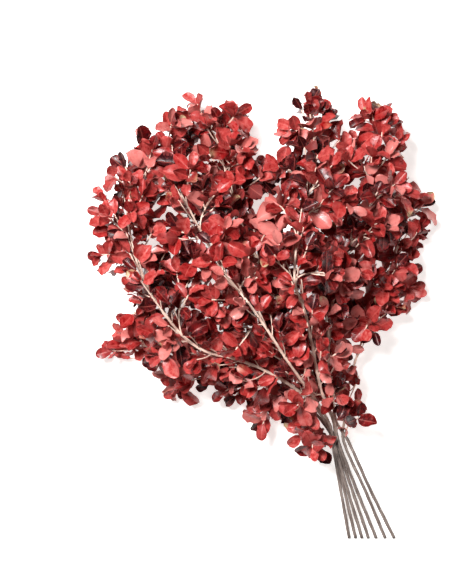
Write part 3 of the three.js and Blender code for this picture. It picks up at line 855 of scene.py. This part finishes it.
def lay_bunch():
    """The whole layout: the stems, and the twigs of each."""
    room = Room()
    stems = [lay_stem(route, number, room) for number, route in enumerate(ROUTES, 1)]
    twigs = [
        [lay_twig(stem, number, spray, room) for number, spray in enumerate(sprays, 1)]
        for sprays, stem in zip(SPRAYS, stems)
    ]
    for shoots, stem in zip(SHOOTS, stems):
        lay_stem_shoots(stem, shoots, room)
    bearers = list(itertools.chain(*twigs)) + stems
    leafy = [wood for bearer in bearers for wood in bearer.leafy()]
    for wood in leafy:
        lay_solid_leaves(wood, room)

    low, high = (np.array(corner) / METRES - TO_ORIGIN for corner in cad_box)
    bounds = (low + BOX_MARGIN, high - BOX_MARGIN)
    fine_room = Room(shown_points(stems, twigs), bounds)
    for wood in stems + leafy:
        take_wood(wood, fine_room, FINE_BEAD_STEP)
        for leaf in wood.leaves:
            along, points = leaf_beads(leaf, *FINE_BEADS)
            fine_room.take(points, 0, wood.owner, along)
    for wood in leafy:
        lay_added_leaves(wood, fine_room)
    for stem in stems:
        lay_free_shoots(stem, FREE_FIRST_ON_STEM, stem.curve.length, fine_room, **FREE_ON_STEM)
    for twig in itertools.chain(*twigs):
        last = twig.curve.length - FREE_FROM_TWIG_ENDS
        lay_free_shoots(twig, FREE_FROM_TWIG_ENDS, last, fine_room, **FREE_ON_TWIG)
    return stems, twigs


# A leaf's mesh: rows from stalk to tip and columns from edge to edge, above and below.
LEAF_ROWS = np.array([0.05, 0.12, 0.22, 0.35, 0.49, 0.63, 0.76, 0.87, 0.945, 0.985])
LEAF_COLUMNS = np.array([-1, -0.68, -0.2, 0, 0.2, 0.68, 1])
LEAF_THICKNESS = 0.45
STALK_RADIUS = 0.55
STALK_END = 0.17
RIB_WIDTH = 0.13
RIB_DEPTH = 0.35
RIPPLE_ALONG = 19
RIPPLE_HEIGHT = 0.15
RIPPLE_SHARE = (0.4, 1)


def leaf_surface(leaf, along, across, lower):
    """Points of the leaf's upper or lower face."""
    draw = leaf_draws(leaf, RIPPLE_SEEDS)
    blade = np.clip(along / STALK_END, 0, 1)
    blade = blade * blade * (3 - 2 * blade)
    full = leaf.half_width * leaf_outline(along, SHOWN_FULLNESS)
    half_width = np.maximum(full * blade, STALK_RADIUS)
    lift = cup_lift(leaf, along, across, half_width)
    ripple = np.sin(draw(FULL_TURN) + RIPPLE_ALONG * along + np.sign(across) * draw(FULL_TURN))
    height = leaf.half_width * RIPPLE_HEIGHT * draw(RIPPLE_SHARE)
    lift += height * ripple * np.abs(across) ** 3 * blade
    lift -= RIB_DEPTH * np.exp(-((across / RIB_WIDTH) ** 2)) * blade
    half_thickness = STALK_RADIUS + (LEAF_THICKNESS / 2 - STALK_RADIUS) * blade
    lift += np.where(lower, -1, 1) * half_thickness * np.sqrt(1 - across**2)
    return on_leaf(leaf, along, across * half_width, lift)


def leaf_template():
    """A leaf mesh's points as (along, across, lower), its ends first, and its faces."""
    rows, columns = len(LEAF_ROWS), len(LEAF_COLUMNS)
    points = [(0.0, 0.0, 0), (1.0, 0.0, 0)]
    numbers = {}
    for lower, row, column in itertools.product((0, 1), range(rows), range(columns)):
        if lower and column in (0, columns - 1):
            numbers[row, column, 1] = numbers[row, column, 0]
        else:
            numbers[row, column, lower] = len(points)
            points.append((LEAF_ROWS[row], LEAF_COLUMNS[column], lower))
    faces = []
    for lower, column in itertools.product((0, 1), range(columns - 1)):
        left = [numbers[row, column, lower] for row in range(rows)]
        right = [numbers[row, column + 1, lower] for row in range(rows)]
        strip = [(0, right[0], left[0]), (left[-1], right[-1], 1)]
        strip += zip(left, right, right[1:], left[1:])
        faces += [face[::-1] if lower else face for face in strip]
    return np.array(points), faces


LEAF_POINTS, LEAF_FACES = leaf_template()
LEAF_EDGE = (np.abs(LEAF_POINTS[:, 1]) == 1) | np.isin(LEAF_POINTS[:, 0], (0, 1))
LEAF_FACE_IS_LOWER = [max(LEAF_POINTS[corner, 2] for corner in face) == 1 for face in LEAF_FACES]

# How leaves differ in colour: shares of dark and of pale ones, and of ones with a dry tip.
DARK_LEAVES = 0.2
PALE_LEAVES = 0.16
DRY_LEAVES = 0.04
BRIGHTNESS = (0.4, 0.46)
DARK_BRIGHTNESS = (0.0, 0.3)
PALE_BRIGHTNESS = (0.7, 0.3)
PALENESS = (0.0, 0.14)
PALE_PALENESS = (0.4, 0.5)


def leaf_look(leaf):
    """A leaf's brightness, its paleness and its own number, each from 0 to 1."""
    draw = leaf_draws(leaf, LOOK_SEEDS)
    kind = draw(WHOLE)
    brightness = draw(BRIGHTNESS)
    paleness = draw(PALENESS)
    if kind < DARK_LEAVES:
        brightness = draw(DARK_BRIGHTNESS)
        paleness = 0.0
    elif kind > 1 - PALE_LEAVES:
        brightness = draw(PALE_BRIGHTNESS)
        paleness = draw(PALE_PALENESS)
    return brightness, paleness, draw(WHOLE)


def kept_inside(points):
    """Points in the frame's metres, those near a side of the solids' box squeezed to stay in it."""
    places = (points + TO_ORIGIN) * METRES
    low, high = np.array(cad_box)
    short_of = np.minimum((places - low) / SQUEEZED - 1, 0)
    places = np.where(short_of < 0, low + SQUEEZED * np.exp(short_of), places)
    past = np.minimum((high - places) / SQUEEZED - 1, 0)
    return np.where(past < 0, high - SQUEEZED * np.exp(past), places)


def new_object(name, data):
    """An object of the scene that shows a mesh or holds a camera or a lamp."""
    thing = bpy.data.objects.new(name, data)
    bpy.context.scene.collection.objects.link(thing)
    return thing


def new_mesh(name, points, faces, material):
    mesh = bpy.data.meshes.new(name)
    mesh.from_pydata(points, [], faces)
    mesh.materials.append(material)
    return mesh


def joined(parts):
    """The points and the faces of many parts as those of one."""
    points, faces = [], []
    first = 0
    for part_points, part_faces in parts:
        points.append(part_points)
        faces += [tuple(corner + first for corner in face) for face in part_faces]
        first += len(part_points)
    return np.vstack(points), faces


def new_piece(name, parts, material, replaced):
    """A smooth mesh piece that rides on the bunch and stands for some of its solids."""
    points, faces = joined(parts)
    mesh = new_mesh(name, kept_inside(points).tolist(), faces, material)
    mesh.shade_smooth()
    piece = new_object(name, mesh)
    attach(piece, "root")
    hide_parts(replaced)
    return mesh


def store(mesh, name, values, domain="POINT"):
    """Stores a number or a vector for each point or face of a mesh, for its material to read."""
    kind, channel = ("FLOAT_VECTOR", "vector") if values.ndim > 1 else ("FLOAT", "value")
    attribute = mesh.attributes.new(name, kind, domain)
    attribute.data.foreach_set(channel, values.astype(np.float32).ravel())


def sharpen_edges(mesh, is_edge_point):
    """Marks the edges whose two ends are edge points as sharp."""
    ends = np.zeros(len(mesh.edges) * 2, int)
    mesh.edges.foreach_get("vertices", ends)
    sharp = is_edge_point[ends.reshape(-1, 2)].all(axis=1)
    name = "sharp_edge"
    attribute = mesh.attributes.get(name) or mesh.attributes.new(name, "BOOLEAN", "EDGE")
    attribute.data.foreach_set("value", sharp)


def make_leaves(name, bearer, replaced, material):
    """One piece with all the leaves of a spray, or of a stem's own shoots."""
    leaves = [leaf for wood in bearer.leafy() for leaf in wood.leaves]
    along, across, lower = LEAF_POINTS.T
    parts = [(leaf_surface(leaf, along, across, lower == 1), LEAF_FACES) for leaf in leaves]
    mesh = new_piece(name, parts, material, replaced)
    store(mesh, "leaf_place", np.tile(LEAF_POINTS, (len(leaves), 1)))
    looks = np.array([leaf_look(leaf) for leaf in leaves])
    store(mesh, "leaf_look", np.repeat(looks, len(LEAF_POINTS), axis=0))
    store(mesh, "leaf_lower", np.tile(LEAF_FACE_IS_LOWER, len(leaves)), "FACE")
    sharpen_edges(mesh, np.tile(LEAF_EDGE, len(leaves)))


# Wood swells where leaves and shoots grow from it, and ends in a bud. A stem's bark is young from
# a place up its length, and its old bark fades into it.
STEM_SIDES = 12
TWIG_SIDES = 7
RING_SPACING = 3
SWELLING = 0.28
SWELLING_REACH = 2.2
LUMPS = 0.05
LUMPS_ROUND = (3, 2)
LUMPS_TURN = (0.35, 0.21)
YOUNG_FROM = 210
AGE_FADE = 90
BUD_LENGTH = 4.5
BUD_FULLNESS = 1.35
BUD_STEPS = np.array([0.75, 0.5, 0.28, 0.12, 0.04])


def bud_profile(before_tip):
    """A bud's radius as a share of its shoot's, by how far short of the tip it is."""
    share = np.clip(before_tip / BUD_LENGTH, 0, 1)
    return np.sqrt(share) * (1 + (BUD_FULLNESS - 1) * 4 * share * (1 - share))


def rings_of(wood, is_stem):
    """Where the rings of some wood's mesh lie, as shares of its length, and their radii."""
    length = wood.curve.length
    parts = np.linspace(0, 1, math.ceil(length / RING_SPACING) + 1)
    if not is_stem:
        near_tip = 1 - BUD_STEPS * BUD_LENGTH / length
        parts = np.concatenate([parts[parts < near_tip[0]], near_tip])
    swelling = 0
    for node in [leaf.part for leaf in wood.leaves] + wood.forks:
        swelling += np.exp(-(((parts - node) * length / SWELLING_REACH) ** 2))
    start, end = wood.ends
    radii = (start + (end - start) * parts) * (1 + SWELLING * np.minimum(swelling, 1))
    return parts, radii if is_stem else radii * bud_profile(length - parts * length)


def tube_faces(rings, sides):
    """A tube's faces from ring to ring, and its two end faces."""
    faces = []
    for ring, side in itertools.product(range(rings - 1), range(sides)):
        after = (side + 1) % sides
        low, high = ring * sides, (ring + 1) * sides
        faces.append((low + side, low + after, high + after, high + side))
    faces.append(tuple(range(sides))[::-1])
    faces.append(tuple(range((rings - 1) * sides, rings * sides)))
    return faces


def tube_of(wood, sides, is_stem):
    """The points, faces and shading facts of one stem, twig or shoot."""
    parts, radii = rings_of(wood, is_stem)
    rings = len(parts)
    reach = parts * wood.curve.length
    centres = wood.curve.points_at(parts)
    angles = np.arange(sides) * 2 * math.pi / sides
    level = None
    points = []
    for ring in range(rings):
        axis = wood.curve.tangent(parts[ring])
        level = sides_of(axis)[0] if level is None else square_to(level, axis)
        raised = np.cross(axis, level)
        lumps = np.sin(LUMPS_ROUND[0] * angles + reach[ring] * LUMPS_TURN[0] + wood.seed)
        lumps += np.sin(LUMPS_ROUND[1] * angles - reach[ring] * LUMPS_TURN[1])
        radius = radii[ring] * (1 + LUMPS * (lumps - len(LUMPS_ROUND)))[:, None]
        spokes = level * np.cos(angles)[:, None] + raised * np.sin(angles)[:, None]
        points.append(centres[ring] + radius * spokes)
    angle_share = np.tile(np.arange(sides) / sides, rings)
    facts = np.column_stack([np.repeat(reach, sides), angle_share, np.full(rings * sides, wood.seed)])
    return np.vstack(points), tube_faces(rings, sides), facts


def make_wood(stem, twigs, number, material):
    """One piece with a stem and all the twigs and shoots that grow from it."""
    tubes = [tube_of(stem, STEM_SIDES, is_stem=True)]
    for bearer in [stem, *twigs]:
        tubes += [tube_of(wood, TWIG_SIDES, is_stem=False) for wood in bearer.leafy()]
    parts = [(points, faces) for points, faces, _ in tubes]
    mesh = new_piece(f"wood_{number}", parts, material, f"stem_{number}")
    facts = np.vstack([tube_facts for _, _, tube_facts in tubes])
    is_stem = np.arange(len(facts)) < len(parts[0][0])
    store(mesh, "wood_place", facts)
    store(mesh, "wood_age", is_stem * np.clip((YOUNG_FROM - facts[:, 0]) / AGE_FADE, 0, 1))


class Shader:
    """A material's nodes. A number, colour or another node's output feeds each input."""

    def __init__(self, name):
        self.material = bpy.data.materials.new(name)
        self.material.use_nodes = True
        self.tree = self.material.node_tree
        self.surface = self.tree.nodes["Principled BSDF"]

    def dressed(self, values):
        """The material, with its surface fed by these values."""
        for name, value in values.items():
            self.feed(self.surface, name, value)
        return self.material

    def feed(self, node, name, value):
        socket = node.inputs[name]
        if isinstance(value, bpy.types.NodeSocket):
            self.tree.links.new(value, socket)
        else:
            socket.default_value = value

    def node(self, kind, output=0, inputs=(), **settings):
        node = self.tree.nodes.new(kind)
        for name, value in settings.items():
            setattr(node, name, value)
        for name, value in dict(inputs).items():
            self.feed(node, name, value)
        return node.outputs[output]

    def attribute(self, name, output="Vector"):
        return self.node("ShaderNodeAttribute", output, attribute_name=name)

    def parts(self, vector):
        split = self.tree.nodes.new("ShaderNodeSeparateXYZ")
        self.feed(split, 0, vector)
        return split.outputs

    def vector(self, x, y, z):
        return self.node("ShaderNodeCombineXYZ", inputs={0: x, 1: y, 2: z})

    def math(self, operation, *values):
        return self.node("ShaderNodeMath", operation=operation, inputs=dict(enumerate(values)))

    def times(self, one, other):
        return self.math("MULTIPLY", one, other)

    def plus(self, one, other):
        return self.math("ADD", one, other)

    def map(self, value, low, high, to_low=0.0, to_high=1.0):
        """A value's range turned smoothly into another range."""
        inputs = dict(enumerate((value, low, high, to_low, to_high)))
        return self.node("ShaderNodeMapRange", interpolation_type="SMOOTHSTEP", inputs=inputs)

    def noise(self, vector, scale, detail):
        inputs = {"Vector": vector, "Scale": scale, "Detail": detail}
        return self.node("ShaderNodeTexNoise", "Fac", inputs)

    def mix(self, share, one, other):
        """One colour with a share of the other. These inputs are the colours' among the node's."""
        inputs = {0: share, 6: one, 7: other}
        return self.node("ShaderNodeMix", 2, inputs, data_type="RGBA")

    def ramp(self, value, stops):
        node = self.tree.nodes.new("ShaderNodeValToRGB")
        elements = node.color_ramp.elements
        for index, (place, *shade) in enumerate(stops):
            element = elements[index] if index < 2 else elements.new(place)
            element.position = place
            element.color = colour(*shade)
        self.feed(node, 0, value)
        return node.outputs[0]

    def bump(self, height, distance, strength):
        inputs = {"Height": height, "Distance": distance, "Strength": strength}
        return self.node("ShaderNodeBump", inputs=inputs)


def colour(red, green, blue):
    return (red, green, blue, 1.0)


# The colours of the leaves, and how much of each is mixed in. A row of a list of colours has how
# light the place is, from 0 to 1, and then its red, green and blue.
LEAF_REDS = [
    (0.0, 0.020, 0.001, 0.003), (0.22, 0.08, 0.001, 0.002), (0.5, 0.26, 0.005, 0.006),
    (0.78, 0.41, 0.030, 0.028), (1.0, 0.56, 0.13, 0.115),
]
ROSE = colour(0.58, 0.19, 0.168)
UNDERSIDE = colour(0.36, 0.055, 0.05)
UNDERSIDE_SHARE = 0.4
VEIN = colour(0.58, 0.15, 0.118)
VEIN_SHARE = 0.32
RIM = colour(0.54, 0.10, 0.08)
RIM_SHARE = 0.25
DRY_TIP = colour(0.45, 0.36, 0.20)

# Noise as its scale and detail, the range that most of it has, and how much light it brings.
MOTTLE = (1.6, 4.0)
MOTTLED_LIGHT = (-0.16, 0.16)
GRAIN = (14.0, 3.0)
GRAINED_LIGHT = (-0.05, 0.05)
MOST_NOISE = (0.3, 0.7)
NOISE_ALONG_LEAF = 3.0
NOISE_BETWEEN_LEAVES = 40.0

# Where the rib, the veins, the rim and a dry tip lie, as shares of the half width and the length.
RIB_FADE = (0.035, 0.09)
VEINS_A_SIDE = 9.0
VEIN_SLANT = 2.4
HALF_VEIN_SPACING = 0.5
VEIN_FADE = (0.0, 0.09)
VEINS_END = (0.6, 0.95)
VEIN_STRENGTH = 0.55
RIM_FADE = (0.88, 1.0)
DRY_FROM_TO = (0.5, 0.95)
DRY_PATCHES = (0.35, 0.6)
DRY_BLEND = 0.02

LEAF_ROUGHNESS = (0.24, 0.42)
ROUGHER_BELOW = 0.22
LEAF_SHINE = 0.42
VEIN_DEPTH = -0.5
GRAIN_HEIGHT = 0.6
LEAF_BUMP = (0.0004, 0.45)


def leaf_material():
    """Dried red leaf: deep to bright red, rose veins, a satin upper face and a matte lower one."""
    shader = Shader("dried leaf")
    along, across, _ = shader.parts(shader.attribute("leaf_place"))
    lower = shader.attribute("leaf_lower", "Fac")
    brightness, paleness, number = shader.parts(shader.attribute("leaf_look"))
    from_rib = shader.math("ABSOLUTE", across)
    shift = shader.times(number, NOISE_BETWEEN_LEAVES)
    on_blade = shader.vector(shader.times(along, NOISE_ALONG_LEAF), across, shift)

    mottle = shader.noise(on_blade, *MOTTLE)
    grain = shader.noise(on_blade, *GRAIN)
    light = shader.plus(brightness, shader.map(mottle, *MOST_NOISE, *MOTTLED_LIGHT))
    light = shader.plus(light, shader.map(grain, *MOST_NOISE, *GRAINED_LIGHT))
    rose = shader.mix(paleness, shader.ramp(light, LEAF_REDS), ROSE)
    under = shader.mix(shader.times(lower, UNDERSIDE_SHARE), rose, UNDERSIDE)

    rib = shader.map(from_rib, *RIB_FADE, 1.0, 0.0)
    back = shader.times(from_rib, VEIN_SLANT)
    slanted = shader.math("SUBTRACT", shader.times(along, VEINS_A_SIDE), back)
    to_vein = shader.math("PINGPONG", shader.plus(slanted, number), HALF_VEIN_SPACING)
    inside = shader.map(from_rib, *VEINS_END, VEIN_STRENGTH, 0.0)
    veins = shader.times(shader.map(to_vein, *VEIN_FADE, 1.0, 0.0), inside)
    lines = shader.math("MAXIMUM", rib, veins)
    veined = shader.mix(shader.times(lines, VEIN_SHARE), under, VEIN)
    rimmed = shader.mix(shader.times(shader.map(from_rib, *RIM_FADE), RIM_SHARE), veined, RIM)
    is_dry = shader.map(number, 1 - DRY_LEAVES, 1 - DRY_LEAVES + DRY_BLEND)
    dry = shader.times(is_dry, shader.map(along, *DRY_FROM_TO))
    dry = shader.times(dry, shader.map(mottle, *DRY_PATCHES))

    satin = shader.map(mottle, *MOST_NOISE, *LEAF_ROUGHNESS)
    height = shader.plus(shader.times(lines, VEIN_DEPTH), shader.times(grain, GRAIN_HEIGHT))
    return shader.dressed({
        "Base Color": shader.mix(dry, rimmed, DRY_TIP),
        "Roughness": shader.plus(satin, shader.times(lower, ROUGHER_BELOW)),
        "Specular IOR Level": LEAF_SHINE,
        "Normal": shader.bump(height, *LEAF_BUMP),
    })


# The bark's colours and its noise, which runs in streaks along the wood and in wide patches.
OLD_BARK = [(0.35, 0.065, 0.046, 0.041), (0.6, 0.19, 0.145, 0.127), (0.85, 0.44, 0.37, 0.33)]
YOUNG_BARK = [(0.25, 0.54, 0.27, 0.20), (0.42, 0.81, 0.51, 0.405), (0.62, 0.87, 0.64, 0.53)]
NOISE_ALONG_WOOD = 0.06
STREAKS = (3.4, 5.0)
STREAK_SHARE = 0.7
PATCHES = (0.9, 2.0)
PATCH_SHARE = 0.5
BARK_ROUGHNESS = (0.55, 0.8)
BARK_SHINE = 0.35
BARK_BUMP = (0.0006, 0.6)


def bark_material():
    """Thin dried bark: grey-brown and streaked on stems, and tan on the young twigs."""
    shader = Shader("dried bark")
    reach, angle, number = shader.parts(shader.attribute("wood_place"))
    age = shader.attribute("wood_age", "Fac")
    turn = shader.times(angle, 2 * math.pi)
    along = shader.plus(shader.times(reach, NOISE_ALONG_WOOD), number)
    around = shader.vector(shader.math("COSINE", turn), shader.math("SINE", turn), along)
    streaks = shader.noise(around, *STREAKS)
    patches = shader.noise(around, *PATCHES)
    light = shader.plus(shader.times(streaks, STREAK_SHARE), shader.times(patches, PATCH_SHARE))
    return shader.dressed({
        "Base Color": shader.mix(age, shader.ramp(light, YOUNG_BARK), shader.ramp(light, OLD_BARK)),
        "Roughness": shader.map(streaks, *MOST_NOISE, *BARK_ROUGHNESS),
        "Specular IOR Level": BARK_SHINE,
        "Normal": shader.bump(streaks, *BARK_BUMP),
    })


# The camera looks straight down from far off, and its middle is the photograph's middle. This is
# how many metres it shows from top to bottom, at the outline's height.
SENSOR = 36.0
SHOWN_HEIGHT = 0.876

# A pale floor that glows a little, a soft key lamp high on the left, and little other light.
FLOOR_REACH = 30.0
FLOOR = {
    "Base Color": colour(0.88, 0.87, 0.86),
    "Roughness": 0.9,
    "Emission Color": colour(1, 0.97, 0.94),
    "Emission Strength": 0.68,
}
LIT_PLACE = (0, 0, 0.08)
KEY_LAMP = {"place": (-0.8, 0.8, 2.2), "size": 0.7, "power": 114}
FILL_LAMP = {"place": (1.8, -1.0, 1.8), "size": 1.6, "power": 14}
WORLD_STRENGTH = 0.035


def add_camera():
    data = bpy.data.cameras.new("camera")
    data.sensor_width = SENSOR
    data.lens = SENSOR * CAMERA_ABOVE_OUTLINE * METRES / SHOWN_HEIGHT
    camera = new_object("camera", data)
    place = np.array([*CAMERA_OVER, CAMERA_ABOVE_OUTLINE + OUTLINE_HEIGHT])
    camera.location = (place + TO_ORIGIN) * METRES
    bpy.context.scene.camera = camera


def add_floor():
    """A plain pale floor, wide enough to fill every view."""
    ways = [(-1, -1), (1, -1), (1, 1), (-1, 1)]
    corners = [(x * FLOOR_REACH, y * FLOOR_REACH, 0) for x, y in ways]
    mesh = new_mesh("floor", corners, [(0, 1, 2, 3)], Shader("pale floor").dressed(FLOOR))
    new_object("floor", mesh)


def add_lamp(name, place, size, power):
    """A square soft light that faces the middle of the bunch."""
    data = bpy.data.lights.new(name, "AREA")
    data.shape = "SQUARE"
    data.size = size
    data.energy = power
    lamp = new_object(name, data)
    lamp.location = place
    lamp.rotation_mode = "QUATERNION"
    lamp.rotation_quaternion = (Vector(LIT_PLACE) - Vector(place)).to_track_quat("-Z", "Y")


def light_scene():
    add_lamp("key", **KEY_LAMP)
    add_lamp("fill", **FILL_LAMP)
    world = bpy.data.worlds.new("studio")
    world.use_nodes = True
    background = world.node_tree.nodes["Background"]
    background.inputs["Color"].default_value = colour(1, 1, 1)
    background.inputs["Strength"].default_value = WORLD_STRENGTH
    bpy.context.scene.world = world
    bpy.context.scene.view_settings.view_transform = "Standard"


add_camera()
stems, twigs = lay_bunch()
leaf_finish = leaf_material()
bark = bark_material()
for number, (stem, its_twigs) in enumerate(zip(stems, twigs), 1):
    make_wood(stem, its_twigs, number, bark)
    make_leaves(f"leaves_{number}", stem, f"stem_{number}", leaf_finish)
    for place, twig in enumerate(its_twigs, 1):
        name = f"{number}_{place}"
        make_leaves(f"leaves_{name}", twig, f"spray_{name}", leaf_finish)
add_floor()
light_scene()
